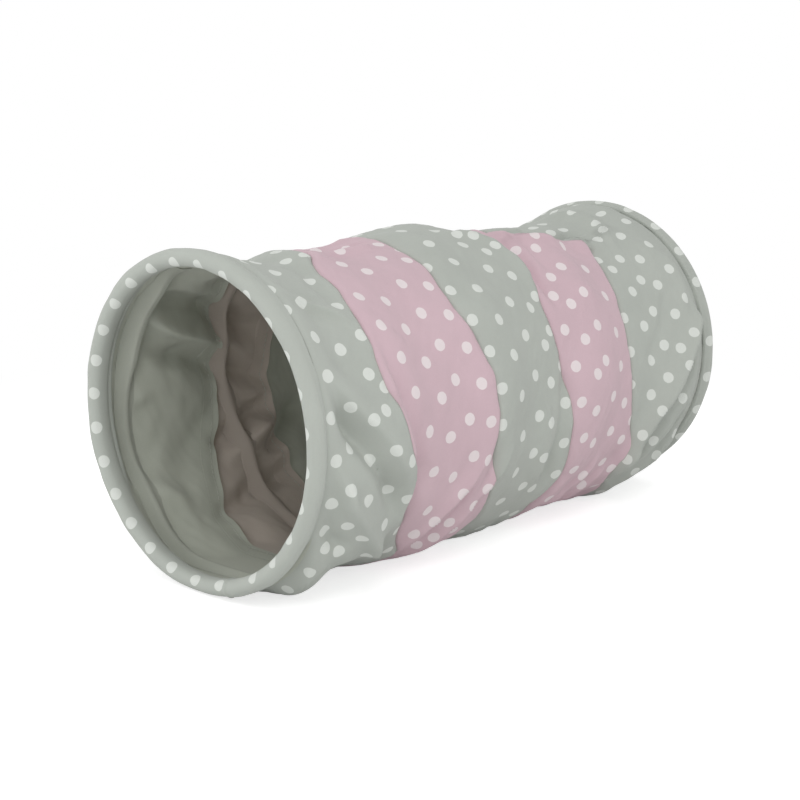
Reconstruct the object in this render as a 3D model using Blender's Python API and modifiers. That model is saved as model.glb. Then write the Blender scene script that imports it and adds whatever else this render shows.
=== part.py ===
# Collapsible pet play tunnel: five sewn cloth bands carried by a wire spiral,
# with a stuffed hem over a sprung wire hoop at each mouth.
# Metres, +Z up. The tunnel lies along X with its front mouth at -X, on the plane z = 0.

import math

import bpy
import bmesh
import numpy as np
from mathutils import Matrix, Vector
from mathutils.bvhtree import BVHTree

# Driving dimensions
LENGTH = 0.350                # over both stuffed hems
RIM_DIAMETER = 0.180          # over a stuffed hem
HEM_DIAMETER = 0.0095         # thickness of a stuffed hem
CLOTH = 0.0010                # thickness of the dotted cloth
GAP = 0.0003                  # between neighbouring pieces
FLOOR_FLAT = 0.0005           # how far the hems press flat on the ground

BODY_DIAMETER = 0.1805        # of the slack cloth between the hems
BODY_SAG = 0.0058             # how far the slack cloth hangs below the hems' axis
SAG_RUN = 0.011               # from a hem's lip to where the slack is full
RIPPLE = 0.0038               # the cloth's rise over a turn of the spiral, and dip between
# Where the five bands are sewn together, as shares of the length from the middle.
BAND_SEAMS = (-0.3143, -0.1200, 0.0714, 0.2530)
# How far each seam strays from its ring, twice round, and where it lies nearest the front.
SEAM_WANDER = ((0.0115, 140), (0.0085, 130), (0.0090, 140), (0.0070, 172))

HOOP_WIRE = 0.0024            # diameter of the hoop wire
HOOP_JOINT_ANGLE = 260.0      # where a hoop's ends meet, in degrees from +Y towards +Z
FERRULE_DIAMETER = 0.0044
FERRULE_LENGTH = 0.016
HEM_LIP = 0.0035              # the hem strip's inner edge, sewn inside the band

SPIRAL_WIRE = 0.0020          # diameter of the spiral's wire
SPIRAL_TURNS = 4
SPIRAL_MID_ANGLE = 31.0       # where the spiral passes the middle of the tunnel
SPIRAL_END_INSET = 0.0195     # from a hoop's plane to the spiral's end
SPIRAL_EASE = 0.5             # turns over which the pitch grows from nothing
TAPE_WIDTH = 0.0110           # binding tape that covers the spiral
TAPE = 0.0006                 # thickness of the tape
CAP_DIAMETER = 0.0046
CAP_LENGTH = 0.0100
CAP_BORE_DEPTH = 0.0070
THREAD = 0.0006               # diameter of the sewing thread

# Counts of segments
ROUND_STEPS = 36              # round the tunnel
BAND_ROWS = 6                 # along one band
TURN_POINTS = 24              # along one turn of the spiral
WRAP_STEPS = 6                # round the hem strip's roll
PADDING_SIDES = 7
THREAD_SIDES = 4

# Sizes that follow
HALF_LENGTH = LENGTH / 2
HOOP_PLANE = HALF_LENGTH - HEM_DIAMETER / 2
HOOP_RADIUS = RIM_DIAMETER / 2 - HEM_DIAMETER / 2
AXIS_HEIGHT = RIM_DIAMETER / 2 - FLOOR_FLAT
HEM_WALL_RADIUS = HEM_DIAMETER / 2 - CLOTH / 2
BAND_END = HOOP_PLANE - HEM_DIAMETER / 2 - GAP
WRAP_START, WRAP_END = 45.0, 315.0     # the hem strip's roll, in degrees
WRAP_HALF_STEP = math.radians((WRAP_END - WRAP_START) / WRAP_STEPS / 2)
PADDING_RADIUS = (HEM_DIAMETER / 2 - CLOTH) * math.cos(WRAP_HALF_STEP) - GAP
SEAM_GAP = THREAD + 2 * GAP   # between two bands' edges, filled by their thread
SPIRAL_END = HOOP_PLANE - SPIRAL_END_INSET
SPIRAL_PITCH = 2 * SPIRAL_END / (SPIRAL_TURNS - SPIRAL_EASE)
HOOP_BORE_RADIUS = HOOP_WIRE / 2 + GAP

# Main folds of the cloth: place along the tunnel as a share of its half length, place
# round it in degrees, height outwards, width along, spread round in degrees, and slant
# in metres along the tunnel for each radian round it.
MAIN_FOLDS = (
    (-0.71, 85, -0.0060, 0.013, 40, 0.0),       # dip behind the front hem, on top
    (-0.52, 88, -0.0050, 0.015, 45, 0.0),
    (-0.20, 90, 0.0020, 0.018, 50, 0.0),
    (0.05, 90, 0.0035, 0.016, 50, 0.0),         # crest over the middle turn
    (0.25, 88, -0.0020, 0.013, 45, 0.0),
    (0.46, 85, -0.0080, 0.017, 45, 0.0),        # deepest dip, between the last turns
    (0.66, 85, -0.0040, 0.016, 45, 0.0),
    (0.90, 85, 0.0035, 0.012, 45, 0.0),
    (-0.85, 245, 0.0015, 0.012, 34, 0.0),       # bag behind the front hem, low down
    (-0.64, 238, -0.0055, 0.009, 24, -0.020),   # pinch between two turns
    (-0.05, 245, 0.0015, 0.022, 30, 0.0),
    (0.30, 245, -0.0020, 0.009, 25, 0.0),
    (0.68, 245, 0.0030, 0.016, 35, 0.0),
    (0.68, 203, 0.0040, 0.010, 26, -0.087),     # drag line from the rear hem
    (0.78, 212, -0.0045, 0.010, 24, -0.087),
    (-0.38, 355, -0.0025, 0.014, 40, -0.014),   # far side
    (-0.02, 0, 0.0025, 0.016, 45, -0.014),
    (0.56, 5, 0.0025, 0.015, 45, -0.014),
    (-0.56, 300, 0.0020, 0.014, 30, 0.012),
    (0.22, 305, 0.0020, 0.016, 30, -0.012),
)

SAGE = (0.403, 0.434, 0.398, 1)
PINK = (0.571, 0.423, 0.468, 1)
STEEL = (0.55, 0.55, 0.56, 1)
WADDING = (0.80, 0.79, 0.76, 1)
TAPE_COLOUR = (0.30, 0.33, 0.30, 1)
CAP_COLOUR = (0.62, 0.63, 0.62, 1)
THREAD_COLOUR = (0.48, 0.49, 0.46, 1)


def clear_scene():
    for item in list(bpy.data.objects):
        bpy.data.objects.remove(item, do_unlink=True)


def make_collection(name):
    collection = bpy.data.collections.new(name)
    bpy.context.scene.collection.children.link(collection)
    return collection


def make_material(name, colour, roughness, metallic=0.0):
    material = bpy.data.materials.new(name)
    material.use_nodes = True
    shader = material.node_tree.nodes["Principled BSDF"]
    shader.inputs["Base Color"].default_value = colour
    shader.inputs["Roughness"].default_value = roughness
    shader.inputs["Metallic"].default_value = metallic
    return material


def finish_mesh(name, mesh, material, collection, sharp_angle=50):
    mesh.materials.append(material)
    mesh.shade_smooth()
    mesh.set_sharp_from_angle(angle=math.radians(sharp_angle))
    part = bpy.data.objects.new(name, mesh)
    collection.objects.link(part)
    return part


def smooth_step(value):
    value = np.clip(value, 0.0, 1.0)
    return value * value * (3 - 2 * value)


def angle_between(first, second):
    return (first - second + math.pi) % (2 * math.pi) - math.pi


def ripple(x, angle):
    """The cloth stands out over each turn of the wire and sinks between them."""
    phase = 2 * math.pi * x / SPIRAL_PITCH + angle - math.radians(SPIRAL_MID_ANGLE)
    crest = ((1 + math.cos(phase)) / 2) ** 1.4
    strength = 0.45 + 0.2 * math.sin(angle) + 0.35 * math.cos(angle) ** 2
    return RIPPLE * strength * (2 * crest - 0.9)


def cloth_radius(x, angle):
    """Distance of the cloth's middle layer from the hems' axis."""
    body_radius = BODY_DIAMETER / 2 - CLOTH / 2
    side = BODY_SAG * math.cos(angle)
    body = -BODY_SAG * math.sin(angle) + math.sqrt(body_radius ** 2 - side ** 2)
    slack = float(smooth_step((BAND_END - HEM_LIP - abs(x)) / SAG_RUN))
    radius = HOOP_RADIUS + (body + ripple(x, angle) - HOOP_RADIUS) * slack
    for share, place, height, width, spread, slant in MAIN_FOLDS:
        turn = angle_between(angle, math.radians(place))
        along = (x - share * HALF_LENGTH - slant * turn) / width
        round_it = turn / math.radians(spread)
        radius += height * math.exp(-along ** 2 - round_it ** 2) * slack
    return radius


def point_at(x, angle, radius, lowest):
    height = AXIS_HEIGHT + radius * math.sin(angle)
    return Vector((x, radius * math.cos(angle), max(height, lowest)))


def seam_place(index, angle):
    """Seams 0 and 5 are the band ends at the hems, 1 to 4 join two bands."""
    if index == 0:
        return -BAND_END
    if index == len(BAND_SEAMS) + 1:
        return BAND_END
    stray, place = SEAM_WANDER[index - 1]
    return BAND_SEAMS[index - 1] * LENGTH - stray * math.cos(2 * (angle - math.radians(place)))


def add_ring_faces(work, rings):
    """Joins closed rings of vertices, each to the next."""
    for ring, following in zip(rings, rings[1:]):
        count = len(ring)
        for k in range(count):
            n = (k + 1) % count
            work.faces.new((ring[k], ring[n], following[n], following[k]))


def mesh_from(work, name):
    bmesh.ops.recalc_face_normals(work, faces=work.faces)
    mesh = bpy.data.meshes.new(name)
    work.to_mesh(mesh)
    work.free()
    return mesh


def row_share(index, row):
    """Rows of a band's mesh lie closer together beside a hem."""
    if index == 0:
        return (row / BAND_ROWS) ** 1.3
    if index == len(BAND_SEAMS):
        return 1 - (1 - row / BAND_ROWS) ** 1.3
    return row / BAND_ROWS


def make_band(name, index, material, collection):
    """One sewn strip of cloth, between seam index and the next one."""
    start_gap = SEAM_GAP / 2 if index > 0 else 0.0
    end_gap = SEAM_GAP / 2 if index < len(BAND_SEAMS) else 0.0
    work = bmesh.new()
    outer, inner = [], []
    for row in range(BAND_ROWS + 1):
        outer_ring, inner_ring = [], []
        for step in range(ROUND_STEPS):
            angle = 2 * math.pi * step / ROUND_STEPS
            start = seam_place(index, angle) + start_gap
            end = seam_place(index + 1, angle) - end_gap
            x = start + (end - start) * row_share(index, row)
            radius = cloth_radius(x, angle)
            outer_ring.append(work.verts.new(point_at(x, angle, radius + CLOTH / 2, 0.0)))
            inner_ring.append(work.verts.new(point_at(x, angle, radius - CLOTH / 2, CLOTH)))
        outer.append(outer_ring)
        inner.append(inner_ring)
    add_ring_faces(work, outer + inner[::-1] + [outer[0]])
    return finish_mesh(name, mesh_from(work, name), material, collection, 60)


def hem_profile():
    """The hem strip in section: x towards the tunnel's middle, y outwards."""
    turn_start, turn_end = math.radians(WRAP_START), math.radians(WRAP_END)
    middle = []
    for step in range(WRAP_STEPS + 1):
        angle = turn_start + (turn_end - turn_start) * step / WRAP_STEPS
        middle.append((HEM_WALL_RADIUS * math.cos(angle), HEM_WALL_RADIUS * math.sin(angle)))
    lip = -(CLOTH + GAP)
    middle.append((HEM_DIAMETER / 2 + 0.4 * HEM_LIP, lip))
    middle.append((HEM_DIAMETER / 2 + HEM_LIP, lip))
    return [Vector(point) for point in middle]


def thicken(line, thickness):
    """Closed outline round an open line of 2D points."""
    left, right = [], []
    for i, point in enumerate(line):
        before = line[max(i - 1, 0)]
        after = line[min(i + 1, len(line) - 1)]
        along = (after - before).normalized()
        across = Vector((-along.y, along.x)) * thickness / 2
        left.append(point + across)
        right.append(point - across)
    return left + right[::-1]


def make_hem_sleeve(name, side, material, collection, floor_cutter):
    """Strip of cloth folded over the hoop and its padding; side is -1 at the front mouth."""
    mesh = bpy.data.meshes.new(name)
    outline = thicken(hem_profile(), CLOTH)
    if side > 0:
        outline = outline[::-1]
    points = [(side * (HOOP_PLANE - p.x), 0, HOOP_RADIUS + p.y) for p in outline]
    edges = [(k, (k + 1) % len(points)) for k in range(len(points))]
    mesh.from_pydata(points, edges, [])
    part = bpy.data.objects.new(name, mesh)
    collection.objects.link(part)
    part.location = (0, 0, AXIS_HEIGHT)
    mesh.materials.append(material)
    screw = part.modifiers.new("turned", "SCREW")
    screw.axis = "X"
    screw.angle = math.radians(360)
    screw.steps = ROUND_STEPS
    screw.render_steps = ROUND_STEPS
    screw.use_merge_vertices = True
    screw.merge_threshold = 0.0001
    screw.use_normal_calculate = True
    cut = part.modifiers.new("pressed flat on the ground", "BOOLEAN")
    cut.operation = "DIFFERENCE"
    cut.solver = "EXACT"
    cut.object = floor_cutter
    return part


def make_floor_cutter(collection):
    depth = 0.02
    bpy.ops.mesh.primitive_cube_add(size=1, location=(0, 0, -depth / 2))
    cutter = bpy.context.active_object
    cutter.name = "floor_cutter"
    cutter.scale = (LENGTH * 1.2, RIM_DIAMETER * 1.2, depth)
    for owner in list(cutter.users_collection):
        owner.objects.unlink(cutter)
    collection.objects.link(cutter)
    cutter.hide_render = True
    cutter.display_type = "WIRE"
    return cutter


def make_wire(name, points, diameter, material, collection):
    curve = bpy.data.curves.new(name, "CURVE")
    curve.dimensions = "3D"
    curve.bevel_depth = diameter / 2
    curve.bevel_resolution = 1
    curve.use_fill_caps = True
    spline = curve.splines.new("POLY")
    spline.points.add(len(points) - 1)
    for target, point in zip(spline.points, points):
        target.co = (*point, 1)
    curve.materials.append(material)
    part = bpy.data.objects.new(name, curve)
    collection.objects.link(part)
    return part


def hoop_point(x, radius, angle):
    return Vector((x, radius * math.cos(angle), AXIS_HEIGHT + radius * math.sin(angle)))


def arc_points(x, radius, start, end, count):
    return [hoop_point(x, radius, start + (end - start) * k / (count - 1)) for k in range(count)]


def frames_along(points):
    """A square frame at each point of a path, kept close to the tunnel's axis."""
    frames = []
    for i, point in enumerate(points):
        along = (points[min(i + 1, len(points) - 1)] - points[max(i - 1, 0)]).normalized()
        outwards = Vector((0, point.y, point.z - AXIS_HEIGHT))
        outwards = (outwards - along * outwards.dot(along)).normalized()
        frames.append((point, outwards, along.cross(outwards)))
    return frames


def make_sleeve(name, points, outer_radius, inner_radius, sides, material, collection):
    """A tube with a bore, open at both ends."""
    work = bmesh.new()
    outer, inner = [], []
    for point, outwards, sideways in frames_along(points):
        for rings, radius in ((outer, outer_radius), (inner, inner_radius)):
            ring = []
            for k in range(sides):
                turn = 2 * math.pi * k / sides
                offset = outwards * math.cos(turn) + sideways * math.sin(turn)
                ring.append(work.verts.new(point + offset * radius))
            rings.append(ring)
    add_ring_faces(work, outer + inner[::-1] + [outer[0]])
    return finish_mesh(name, mesh_from(work, name), material, collection)


def make_thread(name, points, material, collection):
    """A closed ring of thread through the given points."""
    work = bmesh.new()
    rings = []
    for k, point in enumerate(points):
        along = (points[(k + 1) % len(points)] - points[k - 1]).normalized()
        outwards = Vector((0, point.y, point.z - AXIS_HEIGHT)).normalized()
        outwards = (outwards - along * outwards.dot(along)).normalized()
        sideways = along.cross(outwards)
        ring = []
        for side in range(THREAD_SIDES):
            turn = 2 * math.pi * (side + 0.5) / THREAD_SIDES
            offset = outwards * math.cos(turn) + sideways * math.sin(turn)
            ring.append(work.verts.new(point + offset * THREAD / 2))
        rings.append(ring)
    add_ring_faces(work, rings + [rings[0]])
    return finish_mesh(name, mesh_from(work, name), material, collection, 100)


def make_seam_thread(name, index, material, collection):
    points = []
    for step in range(ROUND_STEPS):
        angle = 2 * math.pi * step / ROUND_STEPS
        x = seam_place(index, angle)
        points.append(point_at(x, angle, cloth_radius(x, angle), CLOTH / 2))
    return make_thread(name, points, material, collection)


def make_hem_thread(name, side, material, collection):
    x = side * (BAND_END - THREAD)
    radius = HOOP_RADIUS + CLOTH / 2 + GAP + THREAD / 2
    angles = [2 * math.pi * step / ROUND_STEPS for step in range(ROUND_STEPS)]
    return make_thread(name, [hoop_point(x, radius, angle) for angle in angles], material, collection)


def make_hoop_set(place, side, materials, collection):
    """Hoop wire, the ferrule over its ends, and the padding round it."""
    x = side * HOOP_PLANE
    joint = math.radians(HOOP_JOINT_ANGLE)
    wire = arc_points(x, HOOP_RADIUS, joint, joint + 2 * math.pi, ROUND_STEPS + 1)
    for end, following in ((0, 1), (-1, -2)):
        wire[end] = wire[end] + (wire[following] - wire[end]).normalized() * GAP / 2
    make_wire(place + "_hoop", wire, HOOP_WIRE, materials["steel"], collection)

    # The ferrule follows the wire's two straight runs that meet at the joint.
    ends = (wire[-2], hoop_point(x, HOOP_RADIUS, joint), wire[1])
    half = FERRULE_LENGTH / 2
    before = ends[1] + (ends[0] - ends[1]).normalized() * half
    after = ends[1] + (ends[2] - ends[1]).normalized() * half
    make_sleeve(place + "_hoop_ferrule", [before, ends[1], after], FERRULE_DIAMETER / 2,
                HOOP_BORE_RADIUS, 8, materials["steel"], collection)

    # The padding's stations are the wire's own, apart from its ends at the ferrule.
    bare = half + 2 * GAP
    start = ends[1] + (ends[2] - ends[1]).normalized() * bare
    end = ends[1] + (ends[0] - ends[1]).normalized() * bare
    make_sleeve(place + "_hem_padding", [start] + wire[1:-1] + [end], PADDING_RADIUS,
                HOOP_BORE_RADIUS, PADDING_SIDES, materials["wadding"], collection)


def spiral_place(turns):
    """Place along X after so many turns from the rear end, eased at both ends."""
    full = SPIRAL_TURNS - SPIRAL_EASE
    if turns < SPIRAL_EASE:
        run = turns ** 2 / (2 * SPIRAL_EASE)
    elif turns > SPIRAL_TURNS - SPIRAL_EASE:
        run = full - (SPIRAL_TURNS - turns) ** 2 / (2 * SPIRAL_EASE)
    else:
        run = turns - SPIRAL_EASE / 2
    return SPIRAL_END - 2 * SPIRAL_END * run / full


def inside_tree(bands):
    """The bands as they are built, to measure the room inside them."""
    vertices, faces = [], []
    for band in bands:
        start = len(vertices)
        vertices += [v.co.copy() for v in band.data.vertices]
        faces += [[start + k for k in face.vertices] for face in band.data.polygons]
    return BVHTree.FromPolygons(vertices, faces)


def room_at(tree, x, angle):
    direction = Vector((0, math.cos(angle), math.sin(angle)))
    centre = Vector((x, 0, AXIS_HEIGHT))
    hit = tree.ray_cast(centre, direction)
    if hit[0] is None:
        return HOOP_RADIUS - CLOTH / 2
    return hit[3]


def spiral_stations(tree):
    """Place, angle and the cloth's least inner radius, at each point of the spiral."""
    stations = []
    count = SPIRAL_TURNS * TURN_POINTS
    reach = TAPE_WIDTH / 2
    for k in range(count + 1):
        turns = k / TURN_POINTS
        x = spiral_place(turns)
        angle = math.radians(SPIRAL_MID_ANGLE) + 2 * math.pi * turns
        rooms = []
        for along in (-reach, -reach / 2, 0.0, reach / 2, reach):
            for turn in (-0.5, -0.25, 0.0, 0.25, 0.5):
                rooms.append(room_at(tree, x + along, angle + turn * 2 * math.pi / TURN_POINTS))
        stations.append((x, angle, min(rooms)))
    return stations


def even_out(values):
    """Least of each value and its neighbours, then the mean of those."""
    last = len(values) - 1
    least = [min(values[max(k - 1, 0):k + 2]) for k in range(last + 1)]
    return [sum(least[max(k - 1, 0):k + 2]) / len(least[max(k - 1, 0):k + 2]) for k in range(last + 1)]


def make_spiral(tree, materials, collection):
    stations = spiral_stations(tree)
    radii = even_out([room - GAP - SPIRAL_WIRE / 2 for _, _, room in stations])
    for k, share in ((0, 1.0), (1, 1.0), (2, 0.5)):
        for end in (k, -1 - k):
            radii[end] -= share * (CAP_DIAMETER / 2 - SPIRAL_WIRE / 2 + GAP)
    points = [hoop_point(x, radius, angle) for (x, angle, _), radius in zip(stations, radii)]
    make_wire("spiral_spring", points, SPIRAL_WIRE, materials["steel"], collection)
    print_least_gap(points)
    make_tape(stations, radii, points, materials, collection)
    make_cap("rear_spiral_cap", points[0], points[1], materials, collection)
    make_cap("front_spiral_cap", points[-1], points[-2], materials, collection)


def print_least_gap(points):
    """Least distance between turns of the wire, surface to surface."""
    least = 1.0
    for first, point in enumerate(points):
        for other in points[first + TURN_POINTS // 2:]:
            least = min(least, (other - point).length)
    print("spiral_spring least gap to itself, mm:", round((least - SPIRAL_WIRE) * 1000, 2))


def make_tape(stations, radii, points, materials, collection):
    """Tape on the wire's inner side, with both edges sewn to the cloth."""
    clear = CAP_BORE_DEPTH + 2 * GAP
    work = bmesh.new()
    rings = []
    last = len(points) - 1
    for k, ((x, angle, room), radius) in enumerate(zip(stations, radii)):
        inwards = -Vector((0, math.cos(angle), math.sin(angle)))
        point = points[k]
        if k in (0, last):
            towards = points[1] if k == 0 else points[-2]
            point = point + (towards - point).normalized() * clear
        crown = point + inwards * (SPIRAL_WIRE / 2 + GAP)
        foot = point + inwards * (SPIRAL_WIRE / 2 - GAP)
        half = Vector((TAPE_WIDTH / 2, 0, 0))
        quarter = Vector((SPIRAL_WIRE, 0, 0))
        skin = inwards * TAPE
        line = (foot - half, crown - quarter, crown + quarter, foot + half)
        ring = [work.verts.new(p) for p in line]
        ring += [work.verts.new(p + skin) for p in line[::-1]]
        rings.append(ring)
    add_ring_faces(work, rings)
    work.faces.new(rings[0][::-1])
    work.faces.new(rings[-1])
    bmesh.ops.triangulate(work, faces=[face for face in work.faces if len(face.verts) > 4])
    return finish_mesh("spiral_tape", mesh_from(work, "spiral_tape"), materials["tape"], collection)


def make_cap(name, end, inner_point, materials, collection):
    """Blind plastic cap over a wire end, turned from its half section."""
    bore = SPIRAL_WIRE / 2 + GAP
    outer = CAP_DIAMETER / 2
    base = CAP_LENGTH - CAP_BORE_DEPTH
    profile = [(outer * 0.6, base), (outer, base - 0.001), (outer, -CAP_BORE_DEPTH),
               (bore, -CAP_BORE_DEPTH), (bore, GAP)]
    points = [(0, 0, GAP)] + [(r, 0, z) for r, z in profile[::-1]] + [(0, 0, base)]
    mesh = bpy.data.meshes.new(name)
    mesh.from_pydata(points, [(k, k + 1) for k in range(len(points) - 1)], [])
    mesh.materials.append(materials["plastic"])
    part = bpy.data.objects.new(name, mesh)
    collection.objects.link(part)
    outwards = (end - inner_point).normalized()
    turn = outwards.to_track_quat("Z", "Y").to_matrix().to_4x4()
    part.matrix_world = Matrix.Translation(end) @ turn
    screw = part.modifiers.new("turned", "SCREW")
    screw.steps = 10
    screw.render_steps = 10
    screw.use_merge_vertices = True
    screw.merge_threshold = 0.0001
    screw.use_normal_calculate = True
    return part


def main():
    clear_scene()
    parts = make_collection("pet_play_tunnel")
    cutters = make_collection("cutters")
    sage = make_material("sage_cloth", SAGE, 0.9)
    pink = make_material("pink_cloth", PINK, 0.9)
    materials = {
        "steel": make_material("spring_steel", STEEL, 0.35, 1.0),
        "wadding": make_material("wadding", WADDING, 0.95),
        "tape": make_material("binding_tape", TAPE_COLOUR, 0.9),
        "plastic": make_material("cap_plastic", CAP_COLOUR, 0.5),
        "thread": make_material("sewing_thread", THREAD_COLOUR, 0.8),
    }
    names = ("front_sage_band", "front_pink_band", "middle_sage_band", "rear_pink_band", "rear_sage_band")
    bands = []
    for index, name in enumerate(names):
        cloth = pink if "pink" in name else sage
        bands.append(make_band(name, index, cloth, parts))
    floor_cutter = make_floor_cutter(cutters)
    for place, side in (("front", -1), ("rear", 1)):
        make_hem_sleeve(place + "_hem_sleeve", side, sage, parts, floor_cutter)
        make_hoop_set(place, side, materials, parts)
        make_hem_thread(place + "_hem_thread", side, materials["thread"], parts)
    seams = ("front_sage_pink", "front_pink_sage", "rear_sage_pink", "rear_pink_sage")
    for index, seam in enumerate(seams):
        make_seam_thread(seam + "_thread", index + 1, materials["thread"], parts)
    make_spiral(inside_tree(bands), materials, parts)


main()
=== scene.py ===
import math

import bmesh
import bpy
import numpy as np
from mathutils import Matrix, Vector


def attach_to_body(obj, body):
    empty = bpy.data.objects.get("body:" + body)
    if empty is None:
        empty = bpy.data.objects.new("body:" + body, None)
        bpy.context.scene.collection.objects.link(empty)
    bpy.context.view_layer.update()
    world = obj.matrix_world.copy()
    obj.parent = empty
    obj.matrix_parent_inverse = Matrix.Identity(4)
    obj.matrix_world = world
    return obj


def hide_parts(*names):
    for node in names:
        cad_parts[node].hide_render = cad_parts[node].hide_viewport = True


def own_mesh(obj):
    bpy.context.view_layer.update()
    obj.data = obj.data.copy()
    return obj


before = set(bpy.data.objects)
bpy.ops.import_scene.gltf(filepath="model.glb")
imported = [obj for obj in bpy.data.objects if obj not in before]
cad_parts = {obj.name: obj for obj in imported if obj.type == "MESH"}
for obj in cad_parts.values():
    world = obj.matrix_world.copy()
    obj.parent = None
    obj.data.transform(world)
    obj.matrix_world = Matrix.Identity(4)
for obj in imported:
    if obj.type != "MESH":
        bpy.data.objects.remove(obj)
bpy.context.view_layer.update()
print("tunnel frame loaded")

# sizes that all the pieces share, in metres; the tunnel lies along X
tunnel = {
    "axisHeight": 0.0895,     # of the hems' axis over the ground
    "halfLength": 0.175,
    "hoopPlane": 0.17025,
    "hoopRadius": 0.08525,
    "bandEnd": 0.1652,
    "bodyRadius": 0.08975,
    "bodySag": 0.0058,
    "groundGap": 0.0001,
    "pitch": 0.0861,          # of the wire spiral
    "spiralAngle": 31.0,      # where the spiral starts, in degrees
    "travel": 0.2894,         # of the front hem when the tunnel is pushed flat
    "follow": 0.85,           # share of its distance from the rear hoop that a band moves by then
}
clothThick = 0.0008
fullTurn = 2 * math.pi
ringSteps = 360
rowStep = 0.0014


def smoothStep(value):
    value = np.clip(value, 0.0, 1.0)
    return value * value * (3 - 2 * value)


# what a value has above zero, with a soft turn at zero
def softExcess(value, ease):
    return (value + np.sqrt(value ** 2 + ease ** 2)) / 2


def angleBetween(first, second):
    return (first - second + math.pi) % fullTurn - math.pi


def evenTurns(count):
    return np.arange(count) * fullTurn / count


def unit(vectors):
    return vectors / np.linalg.norm(vectors, axis=-1, keepdims=True)


# length from the first point to each one along a line of points, or along every column
def lengthsAlong(points):
    steps = np.linalg.norm(np.diff(points, axis=0), axis=-1)
    return np.concatenate([np.zeros_like(steps[:1]), np.cumsum(steps, axis=0)])


# smooth closed curve through (degrees, value) points
def ringCurve(points, angle):
    points = sorted(points)
    places = np.radians([p[0] for p in points])
    values = np.array([p[1] for p in points], float)
    angle = np.asarray(angle, float) % fullTurn
    after = np.searchsorted(places, angle) % len(places)
    before = (after - 1) % len(places)
    span = (places[after] - places[before]) % fullTurn
    share = ((angle - places[before]) % fullTurn) / span
    width = (np.roll(places, -1) - np.roll(places, 1)) % fullTurn
    tangent = (np.roll(values, -1) - np.roll(values, 1)) / width
    s2, s3 = share * share, share * share * share
    return ((2 * s3 - 3 * s2 + 1) * values[before] + (s3 - 2 * s2 + share) * span * tangent[before]
            + (3 * s2 - 2 * s3) * values[after] + (s3 - s2) * span * tangent[after])


# soft random lumps on a grid of cells, closed round the tunnel
def lumps(x, angle, cellLong, cellsRound, seed):
    cellsLong = 64
    grid = np.random.RandomState(seed).uniform(-1, 1, (cellsLong, cellsRound))
    u = x / cellLong + cellsLong // 2
    v = (angle % fullTurn) / fullTurn * cellsRound
    iu, iv = np.floor(u).astype(int), np.floor(v).astype(int)
    fu, fv = (f * f * f * (f * (f * 6 - 15) + 10) for f in (u - iu, v - iv))
    nextU, nextV = (iu + 1) % cellsLong, (iv + 1) % cellsRound
    iu, iv = iu % cellsLong, iv % cellsRound
    low = grid[iu, iv] * (1 - fu) + grid[nextU, iv] * fu
    high = grid[iu, nextV] * (1 - fu) + grid[nextU, nextV] * fu
    return low * (1 - fv) + high * fv


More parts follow.
